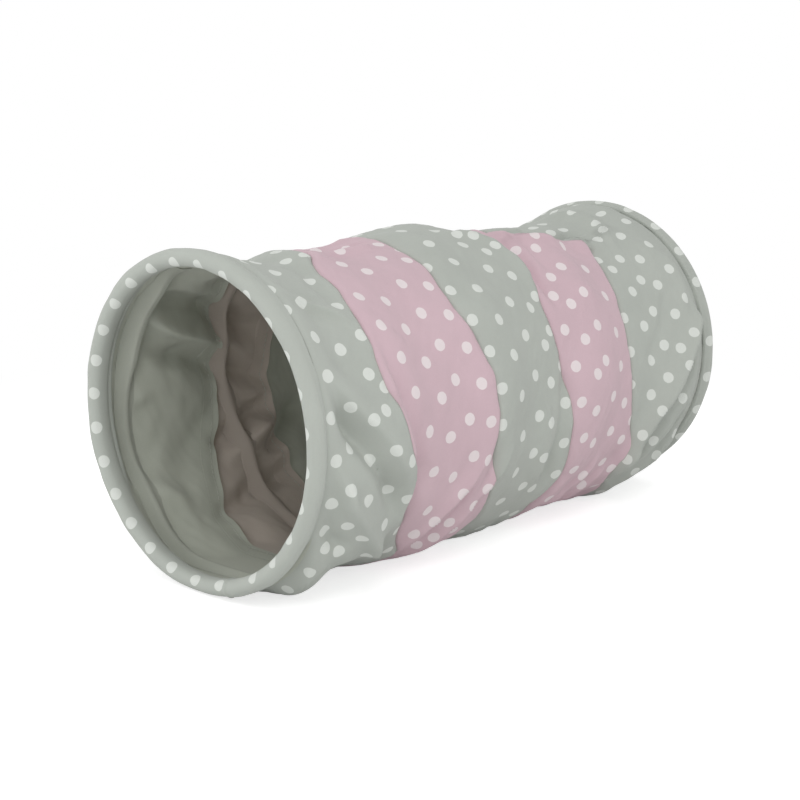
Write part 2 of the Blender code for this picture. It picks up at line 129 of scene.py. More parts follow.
# the cloth's folds: place along the tunnel (share of half its length), place round it,
# height, width along, spread round, slant. The first 20 are the solids' main folds too
mainFolds = [
    (-0.71, 85, -0.0060, 0.013, 40, 0.0), (-0.52, 88, -0.0050, 0.015, 45, 0.0),
    (-0.20, 90, 0.0020, 0.018, 50, 0.0), (0.05, 90, 0.0035, 0.016, 50, 0.0),
    (0.25, 88, -0.0020, 0.013, 45, 0.0), (0.46, 85, -0.0080, 0.017, 45, 0.0),
    (0.66, 85, -0.0040, 0.016, 45, 0.0), (0.90, 85, 0.0035, 0.012, 45, 0.0),
    (-0.85, 245, 0.0015, 0.012, 34, 0.0), (-0.64, 238, -0.0055, 0.009, 24, -0.020),
    (-0.05, 245, 0.0015, 0.022, 30, 0.0), (0.30, 245, -0.0020, 0.009, 25, 0.0),
    (0.68, 245, 0.0030, 0.016, 35, 0.0), (0.68, 203, 0.0040, 0.010, 26, -0.087),
    (0.78, 212, -0.0045, 0.010, 24, -0.087), (-0.38, 355, -0.0025, 0.014, 40, -0.014),
    (-0.02, 0, 0.0025, 0.016, 45, -0.014), (0.56, 5, 0.0025, 0.015, 45, -0.014),
    (-0.56, 300, 0.0020, 0.014, 30, 0.012), (0.22, 305, 0.0020, 0.016, 30, -0.012),
    (-0.60, 65, -0.0076, 0.015, 13, 0.0), (0.39, 88, -0.0085, 0.013, 13, 0.0),
    (0.86, 71, -0.0075, 0.016, 14, 0.0), (-0.87, 254, -0.0048, 0.011, 8, 0.0),
    (-0.725, 237, -0.0085, 0.0095, 9, 0.0), (-0.80, 228, -0.0034, 0.008, 8, 0.0),
    (-0.57, 250, -0.0030, 0.009, 8, 0.0), (-0.44, 80, -0.0026, 0.013, 10, 0.0),
    (0.54, 73, -0.0048, 0.014, 10, 0.0), (-0.15, 70, -0.0014, 0.010, 9, 0.0),
    (0.0, 105, -0.0020, 0.010, 9, 0.0), (0.69, 237, -0.0012, 0.012, 8, 0.0),
    (0.23, 241, -0.0022, 0.011, 9, 0.0), (0.0, 249, 0.0020, 0.016, 8, 0.0),
    (0.06, 94, -0.0016, 0.010, 9, 0.0), (-0.44, 122, 0.0032, 0.016, 17, 0.0),
    (-0.62, 124, -0.0034, 0.010, 17, 0.0), (0.06, 122, 0.0022, 0.014, 14, 0.0),
    (-0.11, 120, -0.0020, 0.012, 14, 0.0),
    # on the side away from the camera, seen through the mouth
    (-0.314, 335, -0.0040, 0.018, 26, 0.0), (-0.114, 350, 0.0034, 0.013, 26, -0.030),
    (-0.434, 345, -0.0038, 0.018, 26, -0.060), (-0.594, 355, -0.0050, 0.013, 26, -0.060),
    (-0.234, 330, -0.0040, 0.018, 26, -0.060), (-0.594, 340, 0.0028, 0.013, 26, 0.060),
    (-0.714, 0, -0.0030, 0.009, 26, -0.060), (-0.554, 15, -0.0030, 0.013, 26, -0.030),
    (-0.554, 295, 0.0027, 0.009, 26, 0.060), (-0.474, 305, -0.0034, 0.013, 26, 0.0),
]

# long folds: path as (millimetres along, degrees round), height, then the width of the
# slope on the path's left and on its right, in millimetres
longFolds = [
    # behind the front hem and down the first band
    ([(-180, 116), (-168, 122), (-150, 129), (-138, 135), (-124, 144)], 4.2, 1.8, 4.6),
    ([(-116, 94), (-122, 109), (-128, 122), (-128, 138)], -2.6, 5.0, 6.0),
    ([(-127, 138), (-123, 158), (-118, 172), (-111, 187), (-107, 200), (-105, 214), (-101, 230)],
     2.7, 4.5, 2.4),
    ([(-119, 138), (-116, 160), (-110, 174), (-103, 188), (-100, 200), (-98, 216), (-94, 230)],
     -2.8, 2.6, 7.0),
    ([(-168, 143), (-158, 158), (-144, 169), (-128, 181), (-113, 195), (-104, 208)], 5.0, 3.6, 9.0),
    ([(-168, 153), (-155, 169), (-142, 180), (-130, 191), (-119, 202), (-110, 213)],
     -8.0, 5.4, 5.0),
    ([(-168, 168), (-160, 187), (-150, 199), (-138, 207), (-124, 216), (-112, 226), (-100, 240)],
     6.4, 4.0, 5.0),
    ([(-164, 199), (-153, 211), (-139, 220)], -6.4, 5.0, 5.0),
    ([(-162, 208), (-157, 222), (-153, 238)], 4.4, 2.4, 2.6),
    # over the top of the first pink band
    ([(-106, 98), (-82, 99), (-50, 104)], 2.6, 5.0, 2.6),
    ([(-104, 91), (-80, 92), (-48, 97)], -2.2, 2.6, 3.0),
    ([(-92, 84), (-70, 85), (-44, 90)], 1.6, 3.0, 4.0),
    # rear top of the middle band and front of the second pink one
    ([(-16, 98), (4, 106), (20, 116), (22, 130), (22, 150)], 4.0, 5.0, 2.2),
    ([(2, 96), (18, 104), (28, 116), (29, 132), (31, 154)], -4.0, 2.2, 3.6),
    ([(28, 97), (39, 107), (38, 122), (36, 138)], 3.0, 2.6, 4.0),
    # the pleat along the second pink band's rear top, and the ridge behind it
    ([(26, 98), (40, 108), (52, 115), (68, 117), (92, 116), (110, 116), (122, 126)], 3.6, 7.0, 2.0),
    ([(34, 92), (46, 102), (58, 108), (78, 110), (98, 109), (112, 107), (128, 112)],
     -6.0, 2.2, 4.6),
    ([(124, 76), (136, 91), (134, 104), (127, 116), (118, 132)], 3.4, 3.4, 4.0),
    ([(112, 96), (111, 110), (106, 124), (104, 140)], -2.6, 4.0, 5.0),
    # the deep diagonal fold in front of the rear hem
    ([(184, 140), (154, 163), (125, 186), (109, 198), (101, 206), (97, 215), (97, 226), (101, 242)],
     7.8, 6.0, 2.4),
    ([(182, 152), (158, 173), (134, 192), (118, 204), (109, 214), (105, 226), (107, 238)],
     -7.8, 3.2, 6.0),
    ([(156, 190), (146, 206), (138, 216), (134, 228)], 3.4, 2.4, 3.0),
    ([(140, 146), (128, 160), (114, 172), (106, 184)], -2.2, 5.0, 6.0),
    ([(154, 132), (150, 150), (138, 168)], 2.4, 5.0, 5.0),
    # low on the middle and on the pink bands
    ([(4, 178), (6, 194), (8, 206), (10, 222)], 2.6, 6.0, 4.0),
    ([(26, 166), (21, 186), (18, 204), (21, 222)], -3.6, 4.0, 4.4),
    ([(-38, 186), (-42, 204), (-48, 222)], -3.0, 4.4, 5.0),
    ([(-92, 247), (-80, 229), (-68, 215), (-56, 202), (-46, 190)], 3.6, 2.6, 4.0),
    ([(-84, 246), (-71, 228), (-59, 213), (-48, 200)], -3.0, 2.6, 2.6),
    ([(-74, 248), (-60, 230), (-47, 215), (-34, 202), (-24, 190)], 3.4, 2.4, 3.6),
    ([(40, 236), (54, 224), (70, 210)], 2.8, 3.0, 3.0),
    ([(60, 240), (72, 229), (86, 216)], 3.0, 3.0, 2.6),
    ([(20, 236), (32, 222), (40, 208)], -2.0, 4.0, 4.0),
    # the side away from the camera, seen through the mouth
    ([(-156, 46), (-128, 38), (-98, 29), (-70, 20), (-44, 12)], 9.8, 7.5, 9.5),
    ([(-160, 37), (-136, 29), (-119, 24), (-78, 13), (-50, 5)], -7.6, 6.5, 5.5),
    ([(-152, 19), (-131, 15), (-109, 11), (-84, 4), (-56, -2), (-28, -6)], 7.1, 5.5, 6.5),
    ([(-156, 12), (-146, 4), (-138, -8)], -4.6, 9.0, 9.0),
    ([(-96, -28), (-78, -22), (-62, -16), (-40, -13)], 8.8, 5.5, 7.5),
    ([(-88, -33), (-68, -28), (-44, -20)], -6.6, 5.5, 5.5),
    ([(-66, -36), (-46, -28), (-28, -20), (-8, -14)], 8.8, 5.5, 7.5),
    ([(-116, -54), (-96, -49), (-76, -45), (-52, -42), (-30, -38)], 8.8, 5.5, 7.5),
    ([(-154, -30), (-140, -38), (-118, -46)], -5.6, 8.5, 7.5),
    ([(20, -30), (48, -18), (80, -8)], 4.1, 8.5, 8.5),
    ([(60, 30), (90, 14), (120, 4)], -4.1, 8.5, 8.5),
]

spiral = {"wire": 0.0020, "turns": 4, "ease": 0.5, "end": 0.15075, "steps": 96,
          "tape": 0.011, "tapeThick": 0.00035}


# place along the tunnel, so many turns from the spiral's rear end
def spiralX(turns):
    whole, ease, end = spiral["turns"], spiral["ease"], spiral["end"]
    full = whole - ease
    run = np.where(turns < ease, turns ** 2 / (2 * ease), turns - ease / 2)
    late = full - (whole - turns) ** 2 / (2 * ease)
    run = np.where(turns > whole - ease, late, run)
    return end - 2 * end * run / full


tapeGrip = {"reach": 0.010, "share": 0.3, "sideFrom": 0.25, "sideOver": 0.4}


# 1 where the spiral's tape holds the cloth, on the side away from the camera
def heldByTape(x, angle):
    whole = spiral["turns"]
    first = ((angle - math.radians(tunnel["spiralAngle"])) % fullTurn) / fullTurn
    gap = np.full(np.broadcast(x, angle).shape, 1.0)
    for turn in range(-1, whole + 1):
        gap = np.minimum(gap, np.abs(x - spiralX(np.clip(first + turn, 0, whole))))
    away = smoothStep((np.cos(angle) - tapeGrip["sideFrom"]) / tapeGrip["sideOver"])
    return np.exp(-(gap / tapeGrip["reach"]) ** 4) * away


# radius that turns degrees into millimetres, blend between a fold's two slopes in
# millimetres, and the share of its length in which it rises and falls
longFoldShape = {"radius": 90.0, "blend": 3.0, "fade": 0.3}


def longFoldHeight(x, angle):
    total = np.zeros(np.broadcast(x, angle).shape)
    radius, rise = longFoldShape["radius"], longFoldShape["fade"]
    px, py = x * 1000, angle * radius
    around = fullTurn * radius
    for path, height, left, right in longFolds:
        path = [(p[0], math.radians(p[1]) * radius) for p in path]
        steps = [math.dist(a, b) for a, b in zip(path, path[1:])]
        whole = sum(steps)
        best = np.full(total.shape, 1e9)
        side = np.zeros(total.shape)
        share = np.zeros(total.shape)
        done = 0.0
        for (ax, ay), (bx, by), step in zip(path, path[1:], steps):
            rx = px - ax
            ry = (py - ay + around / 2) % around - around / 2
            dx, dy = (bx - ax) / step, (by - ay) / step
            t = np.clip(rx * dx + ry * dy, 0, step)
            ex, ey = rx - t * dx, ry - t * dy
            gap = np.hypot(ex, ey)
            near = gap < best
            best = np.where(near, gap, best)
            side = np.where(near, dx * ey - dy * ex, side)
            share = np.where(near, (done + t) / whole, share)
            done += step
        blend = smoothStep(side / longFoldShape["blend"] + 0.5)
        width = right + (left - right) * blend
        fade = smoothStep(share / rise) * smoothStep((1 - share) / rise)
        total += height * np.exp(-(best / width) ** 2) * fade
    return total / 1000 * (1 - tapeGrip["share"] * heldByTape(x, angle))


rippleShape = {"height": 0.0038, "sharp": 1.4, "base": 0.45, "top": 0.2, "sides": 0.35, "low": 0.9}


# the soft crests that the wire spiral lifts in the cloth
def ripple(x, angle):
    phase = fullTurn * x / tunnel["pitch"] + angle - math.radians(tunnel["spiralAngle"])
    crest = ((1 + np.cos(phase)) / 2) ** rippleShape["sharp"]
    strength = (rippleShape["base"] + rippleShape["top"] * np.sin(angle)
                + rippleShape["sides"] * np.cos(angle) ** 2)
    return rippleShape["height"] * strength * (2 * crest - rippleShape["low"])


# 1 at the place round the tunnel, falling off over the spread, both in degrees
def bumpRound(angle, place, spread):
    return np.exp(-(angleBetween(angle, math.radians(place)) / math.radians(spread)) ** 2)


attachShape = {"place": 135, "spread": 42, "rear": 0.0012, "rearBump": 0.0008, "frontBump": 0.0030,
               "frontCloth": 1.45}


# how far the cloth stands over the hoop where it meets a hem
def hemAttach(angle, rear):
    near = bumpRound(angle, attachShape["place"], attachShape["spread"])
    return np.where(rear, attachShape["rear"] + attachShape["rearBump"] * near,
                    attachShape["frontBump"] * near)


# how far from its end the cloth is held, with what this loses below and on the front's
# near flank, and the length over which it then comes free, with what this gains there
slackShape = {"held": (0.0035, 0.0025, 0.002), "reach": (0.011, 0.004, 0.009),
              "below": 1.2, "flank": (150, 30)}

# the finest folds: height, slant, length of a cell, cells round, seed
crumples = [(0.0014, 6, 0.028, 20, 3), (0.0008, -9, 0.013, 44, 5), (0.00028, 14, 0.006, 100, 8)]


# distance of the cloth's middle layer from the hems' axis
def clothRadius(x, angle):
    x, angle = np.asarray(x, float), np.asarray(angle, float)
    side = tunnel["bodySag"] * np.cos(angle)
    body = -tunnel["bodySag"] * np.sin(angle) + np.sqrt(tunnel["bodyRadius"] ** 2 - side ** 2)
    low = smoothStep(-np.sin(angle) * slackShape["below"])
    flank = bumpRound(angle, *slackShape["flank"]) * (x < 0)
    held, heldLow, heldFlank = slackShape["held"]
    reach, reachLow, reachFlank = slackShape["reach"]
    reach = reach + reachLow * low + reachFlank * flank
    slack = tunnel["bandEnd"] - held + heldLow * low + heldFlank * flank - np.abs(x)
    body = body + ripple(x, angle)
    for share, place, height, width, spread, slant in mainFolds:
        turn = angleBetween(angle, math.radians(place))
        along = (x - share * tunnel["halfLength"] - slant * turn) / width
        body = body + height * np.exp(-along ** 2 - (turn / math.radians(spread)) ** 2)
    body = body + longFoldHeight(x, angle)
    for height, slant, cellLong, cellsRound, seed in crumples:
        body = body + height * lumps(x, angle + x * slant, cellLong, cellsRound, seed)
    attach = hemAttach(angle, x > 0) * np.where(x > 0, 1.0, attachShape["frontCloth"])
    atHem = tunnel["hoopRadius"] + attach
    return atHem + (body - atHem) * smoothStep(slack / reach)


# eases a height off so that it stays over the lowest one
def overGround(height, lowest):
    return lowest + softExcess(height - lowest, 0.0015)


# points round the hems' axis, kept over the lowest height if one is given
def roundAxis(x, angle, radius, lowest=None):
    height = tunnel["axisHeight"] + radius * np.sin(angle)
    if lowest is not None:
        height = overGround(height, lowest)
    return np.stack([x, radius * np.cos(angle), height], axis=-1)


def newMesh(name, points, faces, materials):
    mesh = bpy.data.meshes.new(name)
    mesh.from_pydata(points, [], faces)
    for material in materials:
        mesh.materials.append(material)
    return mesh


def addObject(name, data):
    holder = bpy.data.objects.new(name, data)
    bpy.context.scene.collection.objects.link(holder)
    return holder


# the four corners of every face between rows of points, each row closed round
def faceCorners(values, nextStep=None):
    if nextStep is None:
        nextStep = np.roll(values, -1, axis=1)
    return np.stack([values, nextStep, np.roll(nextStep, -1, axis=0), np.roll(values, -1, axis=0)],
                    axis=2)


# the corners' places on the cloth laid flat, from u along and v round
def cornerMap(u, v, roundLength):
    u, v = np.broadcast_arrays(u, v)
    nextV = np.roll(v, -1, axis=1)
    nextV[:, -1] += roundLength
    return np.stack([faceCorners(u), faceCorners(v, nextV)], axis=-1)


def setLayer(data, field, values):
    data.foreach_set(field, values.reshape(-1).astype(np.float32))


# points[row][step] closed round; the last row joins the first if shell
def ringMesh(name, points, materials, materialRows=None, flat=None, dots=None, shell=True):
    rows, steps = points.shape[:2]
    faceRows = rows if shell else rows - 1
    index = np.arange(rows * steps).reshape(rows, steps)
    faces = faceCorners(index)[:faceRows].reshape(-1, 4)
    mesh = newMesh(name, points.reshape(-1, 3).tolist(), faces.tolist(), materials)
    if materialRows is not None:
        picked = np.repeat(np.asarray(materialRows)[:faceRows], steps)
        mesh.polygons.foreach_set("material_index", picked.astype(np.int32))
    if flat is not None:
        setLayer(mesh.uv_layers.new(name="clothMap").data, "uv", flat[:faceRows])
    if dots is not None:
        layer = mesh.attributes.new("fromDot", "FLOAT_VECTOR", "CORNER")
        setLayer(layer.data, "vector", dots[:faceRows])
    mesh.shade_smooth()
    mesh.set_sharp_from_angle(angle=math.radians(70))
    return addObject(name, mesh)


# what a piece moves with, and the solid that it stands for
def dress(piece, body, node=None):
    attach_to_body(piece, body)
    if node:
        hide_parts(node)


def newMaterial(name):
    material = bpy.data.materials.new(name)
    material.use_nodes = True
    tree = material.node_tree
    return material, tree, tree.nodes["Principled BSDF"]


def addNode(tree, kind):
    return tree.nodes.new("ShaderNode" + kind)


# a socket takes a number, a colour or another node's output
def feed(tree, socket, value):
    if isinstance(value, bpy.types.NodeSocket):
        tree.links.new(value, socket)
    elif isinstance(value, tuple):
        socket.default_value = (*value, 1)
    else:
        socket.default_value = value


def feedAll(tree, node, values):
    for key, value in values.items():
        feed(tree, node.inputs[key], value)


def mathNode(tree, operation, *values):
    node = addNode(tree, "Math")
    node.operation = operation
    for socket, value in zip(node.inputs, values):
        feed(tree, socket, value)
    return node.outputs[0]


def lengthOf(tree, vector):
    node = addNode(tree, "VectorMath")
    node.operation = "LENGTH"
    feed(tree, node.inputs[0], vector)
    return node.outputs["Value"]


def objectCoords(tree):
    return addNode(tree, "TexCoord").outputs["Object"]


def noiseNode(tree, coords, scale, detail, rough=0.5):
    node = addNode(tree, "TexNoise")
    feedAll(tree, node, {"Vector": coords, "Scale": scale, "Detail": detail, "Roughness": rough})
    return node.outputs["Fac"]


def mapRange(tree, value, low, high, toLow, toHigh, smooth=False):
    node = addNode(tree, "MapRange")
    if smooth:
        node.interpolation_type = "SMOOTHSTEP"
    feedAll(tree, node, {"Value": value, "From Min": low, "From Max": high, "To Min": toLow,
                         "To Max": toHigh})
    return node.outputs["Result"]


def mixColour(tree, share, first, second):
    node = addNode(tree, "Mix")
    node.data_type = "RGBA"
    node.clamp_factor = True
    feedAll(tree, node, {"Factor": share, 6: first, 7: second})
    return node.outputs[2]


def mixShader(tree, share, first, second):
    node = addNode(tree, "MixShader")
    feedAll(tree, node, {0: share, 1: first, 2: second})
    return node.outputs[0]


def scaled(colour, gain):
    return tuple(min(1, c * gain) for c in colour)


# height of a plain weave, from a flat map of the cloth, in threads of the given width
def weaveHeight(tree, thread):
    uv = addNode(tree, "UVMap")
    uv.uv_map = "clothMap"
    split = addNode(tree, "SeparateXYZ")
    tree.links.new(uv.outputs["UV"], split.inputs[0])
    waves = [mathNode(tree, "SINE", mathNode(tree, "MULTIPLY", split.outputs[axis], math.pi / thread))
             for axis in ("X", "Y")]
    return mathNode(tree, "MULTIPLY", *waves)


def addBump(tree, shader, height, strength, distance):
    bump = addNode(tree, "Bump")
    feedAll(tree, bump, {"Strength": strength, "Distance": distance, "Height": height})
    tree.links.new(bump.outputs["Normal"], shader.inputs["Normal"])


clothLook = {
    "broad": (26, 3.0), "fine": (900, 2.0, 0.6), "fleck": 0.22, "fleckGain": 1.12,
    "thread": 0.00042, "weave": 0.5, "bump": (0.35, 0.00012),
    "surface": {"Roughness": 0.92, "Sheen Weight": 0.12, "Sheen Roughness": 0.6,
                "Specular IOR Level": 0.25},
}


# a woven finish; returns its colour
def clothFinish(tree, shader, colour, uneven):
    coords = objectCoords(tree)
    broad = noiseNode(tree, coords, *clothLook["broad"])
    fine = noiseNode(tree, coords, *clothLook["fine"])
    tone = mixColour(tree, mapRange(tree, broad, 0.3, 0.7, 0, 1), scaled(colour, 1 - uneven),
                     scaled(colour, 1 + uneven))
    fleck = mapRange(tree, fine, 0.3, 0.75, 0.0, clothLook["fleck"])
    tone = mixColour(tree, fleck, tone, scaled(colour, clothLook["fleckGain"]))
    weave = mathNode(tree, "MULTIPLY", weaveHeight(tree, clothLook["thread"]), clothLook["weave"])
    addBump(tree, shader, mathNode(tree, "ADD", weave, fine), *clothLook["bump"])
    feedAll(tree, shader, clothLook["surface"])
    return tone


printLook = {"radius": 0.00335, "edge": 0.00012, "wobble": 0.00018, "wobbleGrain": (700, 1.0),
             "wearGrain": (2600, 1.0), "wear": (0.24, 0.3, 0.35, 1), "uneven": 0.035}


# cloth with a dot printed round every point that fromDot is measured from
def dottedCloth(name, colour, dotColour):
    material, tree, shader = newMaterial(name)
    tone = clothFinish(tree, shader, colour, printLook["uneven"])
    fromDot = addNode(tree, "Attribute")
    fromDot.attribute_name = "fromDot"
    coords = objectCoords(tree)
    radius, edge, wobble = printLook["radius"], printLook["edge"], printLook["wobble"]
    grain = noiseNode(tree, coords, *printLook["wobbleGrain"])
    reach = mathNode(tree, "ADD", lengthOf(tree, fromDot.outputs["Vector"]),
                     mapRange(tree, grain, 0, 1, -wobble, wobble))
    dot = mapRange(tree, reach, radius - edge, radius + edge, 1, 0, True)
    worn = mapRange(tree, noiseNode(tree, coords, *printLook["wearGrain"]), *printLook["wear"])
    dot = mathNode(tree, "MULTIPLY", dot, worn)
    feed(tree, shader.inputs["Base Color"], mixColour(tree, dot, tone, dotColour))
    return material


def plainCloth(name, colour):
    material, tree, shader = newMaterial(name)
    feed(tree, shader.inputs["Base Color"], clothFinish(tree, shader, colour, 0.05))
    return material


# thin tape, tinted by the pink cloth where it lies on that, in colours darkened by painted shade
def sheerTape(name, colour, overPink):
    material, tree, shader = newMaterial(name)
    tone = clothFinish(tree, shader, colour, 0.03)
    under = addNode(tree, "Attribute")
    under.attribute_name = "pinkUnder"
    feed(tree, shader.inputs["Base Color"], mixColour(tree, under.outputs["Fac"], tone, overPink))
    return material


# noise of the grain, its range from a darker tone to the colour, the bump it makes
grainedLooks = {
    "sewingThread": {"colour": (0.46, 0.47, 0.42), "grain": (3500, 2.0), "tone": (0.3, 0.7, 0.85),
                     "bump": (0.5, 0.0001), "surface": {"Roughness": 0.75, "Sheen Weight": 0.1}},
    "springSteel": {"colour": (0.56, 0.56, 0.57), "grain": (400, 4.0), "tone": (0.35, 0.7, 0.8),
                    "bump": (0.15, 0.0001), "surface": {"Metallic": 1.0},
                    "polish": (0.2, 0.8, 0.28, 0.45)},
    "hemWadding": {"colour": (0.80, 0.79, 0.76), "grain": (600, 6.0, 0.7), "tone": (0.35, 0.65, 0.86),
                   "bump": (0.8, 0.0006), "surface": {"Roughness": 1.0, "Sheen Weight": 0.3}},
    "capPlastic": {"colour": (0.62, 0.63, 0.62), "grain": (1200, 3.0), "tone": (0.3, 0.7, 0.93),
                   "bump": (0.1, 0.0001), "surface": {"Roughness": 0.45}},
}


def grainedFinish(name):
    look = grainedLooks[name]
    material, tree, shader = newMaterial(name)
    grain = noiseNode(tree, objectCoords(tree), *look["grain"])
    low, high, dark = look["tone"]
    tone = mixColour(tree, mapRange(tree, grain, low, high, 0, 1), scaled(look["colour"], dark),
                     look["colour"])
    addBump(tree, shader, grain, *look["bump"])
    feedAll(tree, shader, {"Base Color": tone, **look["surface"]})
    if "polish" in look:
        feed(tree, shader.inputs["Roughness"], mapRange(tree, grain, *look["polish"]))
    return material


clothColours = {
    "sage": (0.410, 0.434, 0.397),
    "pink": (0.572, 0.422, 0.463),
    "sageDot": (0.645, 0.670, 0.630),
    "pinkDot": (0.740, 0.665, 0.675),
    "sageReverse": (0.425, 0.445, 0.385),
    "pinkReverse": (0.450, 0.398, 0.352),
    # the tapes' colours: the reverse cloths' darkened by about a tenth, painted shade
    "sageTapePaintedShade": (0.385, 0.402, 0.350),
    "pinkTapePaintedShade": (0.395, 0.348, 0.308),
}
# printed face and reverse of both cloths
clothLooks = {tone: [dottedCloth(tone + "Dotted", clothColours[tone], clothColours[tone + "Dot"]),
                     plainCloth(tone + "Reverse", clothColours[tone + "Reverse"])]
              for tone in ("sage", "pink")}
threadLook, steelLook, waddingLook, capLook = [grainedFinish(name) for name in grainedLooks]
print("materials made")

# seams between bands: millimetres along the tunnel at each place round it, in degrees
seamLines = {
    1: [
        (12, -85), (60, -101), (99, -104), (108, -112.3), (117, -116.3), (125, -117.6),
        (133, -121.1), (141, -122.5), (148, -122.9), (156, -124.9), (165, -123.6), (172, -117.9),
        (178, -115.7), (186, -113.2), (198, -98.1), (205, -97.8), (214, -94.8), (224, -91.2),
        (241, -80.1), (258, -100), (290, -103), (320, -96), (345, -86)],
    2: [
        (45, -44), (80, -46), (96, -44.5), (108, -46.8), (116, -47.5), (124, -47.4), (132, -49.9),
        (144, -49.1), (153, -44.9), (161, -43.3), (168, -41.8), (179, -41.2), (190, -41.4),
        (200, -38.5), (211, -34.3), (229, -23.8), (262, -35), (290, -38), (330, -43)],
    3: [
        (20, 24), (60, 25), (97, 27), (119, 21.9), (128, 25.4), (138, 22.4), (147, 21.2),
        (156, 21.6), (165, 22.9), (173, 24.3), (181, 26.4), (190, 28.7), (199, 30.7), (208, 32.7),
        (218, 33.8), (230, 28.4), (258, 32), (290, 27), (340, 22)],
    4: [
        (20, 84), (56, 66), (104, 45.3), (111, 49.9), (118, 104), (126, 102.2), (134, 98.4),
        (143, 94.7), (152, 92.8), (162, 90.9), (173, 90.3), (188, 90.5), (199, 92.2), (208, 94.9),
        (217, 92.6), (226, 95), (238, 108.5), (262, 92), (290, 90), (330, 86)],
}

# each band's place along the tunnel, and its printed dots that the photo shows:
# millimetres along and degrees round
bandPlans = [
    {"place": "front", "colour": "sage", "middle": -0.1376, "rows": 4, "dots": [
        (-170, 117), (-166, 124), (-166, 133), (-161, 170), (-159, 157), (-159, 184), (-158, 199),
        (-157, 144), (-155, 211), (-153, 193), (-152, 217), (-151, 130), (-149, 181), (-148, 168),
        (-147, 207), (-143, 219), (-142, 110), (-142, 149), (-140, 198), (-138, 173), (-136, 212),
        (-135, 187), (-132, 159), (-129, 171), (-128, 133), (-128, 183), (-127, 146), (-125, 116),
        (-125, 164), (-123, 222), (-120, 210), (-119, 199), (-117, 97), (-117, 187), (-109, 202),
        (-108, 100), (-95, 221), (-91, 232)]},
    {"place": "front", "colour": "pink", "middle": -0.076, "rows": 4, "dots": [
        (-111, 131), (-111, 144), (-107, 156), (-102, 168), (-96, 111), (-94, 134), (-93, 182),
        (-91, 146), (-87, 118), (-86, 159), (-86, 197), (-81, 172), (-81, 213), (-81, 224),
        (-76, 186), (-75, 128), (-74, 141), (-73, 218), (-72, 154), (-70, 201), (-68, 112),
        (-68, 167), (-68, 233), (-63, 181), (-62, 207), (-62, 228), (-59, 194), (-58, 131),
        (-58, 221), (-57, 144), (-54, 116), (-54, 157), (-52, 170), (-49, 183), (-49, 196),
        (-48, 227), (-47, 108), (-47, 214), (-41, 208)]},
    {"place": "middle", "colour": "sage", "middle": -0.0085, "rows": 5, "dots": [
        (-47, 122), (-46, 135), (-44, 148), (-40, 160), (-40, 185), (-39, 173), (-30, 111),
        (-29, 137), (-28, 96), (-28, 123), (-26, 150), (-24, 163), (-23, 177), (-17, 192),
        (-14, 207), (-12, 221), (-9, 101), (-9, 144), (-6, 114), (-5, 128), (-5, 157), (-5, 239),
        (-3, 172), (-2, 201), (-1, 187), (0, 107), (2, 216), (5, 120), (6, 232), (7, 111), (7, 203),
        (8, 190), (9, 133), (9, 147), (11, 162), (11, 176), (12, 218), (15, 118), (16, 233),
        (18, 143), (18, 157), (23, 171), (24, 185), (25, 200), (27, 213), (30, 229), (34, 223)]},
    {"place": "rear", "colour": "pink", "middle": 0.0568, "rows": 4, "dots": [
        (17, 130), (30, 158), (32, 172), (33, 185), (34, 144), (35, 119), (40, 199), (41, 136),
        (41, 212), (42, 149), (43, 163), (45, 189), (46, 176), (49, 121), (50, 202), (53, 133),
        (54, 116), (54, 146), (55, 159), (55, 172), (58, 218), (64, 186), (71, 201), (75, 176),
        (76, 163), (78, 120), (78, 216), (79, 134), (79, 148), (81, 191), (85, 206), (90, 220),
        (91, 199)]},
    {"place": "rear", "colour": "sage", "middle": 0.1269, "rows": 6, "dots": [
        (89, 185), (91, 172), (93, 158), (94, 214), (98, 103), (99, 204), (102, 129), (105, 136),
        (106, 190), (108, 163), (109, 148), (109, 177), (110, 195), (117, 132), (118, 118),
        (118, 184), (119, 158), (120, 210), (121, 144), (121, 172), (126, 115), (130, 109),
        (131, 135), (131, 148), (131, 174), (131, 180), (134, 121), (135, 161), (135, 219),
        (138, 194), (141, 169), (145, 104), (145, 130), (146, 143), (146, 156), (149, 115),
        (150, 212), (168, 160), (168, 174), (169, 189), (169, 205)]},
]


def seamX(index, angle):
    if index in (0, 5):
        return np.full(np.shape(angle), tunnel["bandEnd"] if index else -tunnel["bandEnd"])
    return ringCurve(seamLines[index], angle) / 1000


# the print runs round at one radius about the slack cloth's own axis; dots on the side
# that the photo shows stand in bandPlans, between the two places in degrees
printPlan = {"radius": 0.091, "lowered": 0.006, "start": 70, "perRow": 27, "apart": 0.013,
             "shown": (108, 222)}


# place round the tunnel as length along the cloth
def printLength(angle):
    radius = printPlan["radius"]
    lowered = np.arctan2(radius * np.sin(angle) + printPlan["lowered"], radius * np.cos(angle))
    return ((lowered - math.radians(printPlan["start"])) % fullTurn) * radius


# centres of the printed dots: those the photo shows, then even rows round the far side
def printedDots(index, plan):
    centres = [(x / 1000, math.radians(turn)) for x, turn in plan["dots"]]
    perRow, radius = printPlan["perRow"], printPlan["radius"]
    shownFrom, shownTo = (math.radians(turn) for turn in printPlan["shown"])
    for row in range(plan["rows"]):
        for k in range(perRow):
            turn = (k + 0.5 * (row % 2)) * fullTurn / perRow
            if shownFrom < turn < shownTo:
                continue
            low, high = float(seamX(index, turn)), float(seamX(index + 1, turn))
            x = low + (high - low) * (row + 0.5) / plan["rows"]
            if all(math.hypot(x - px, angleBetween(turn, pt) * radius) > printPlan["apart"]
                   for px, pt in centres):
                centres.append((x, turn))
    return centres


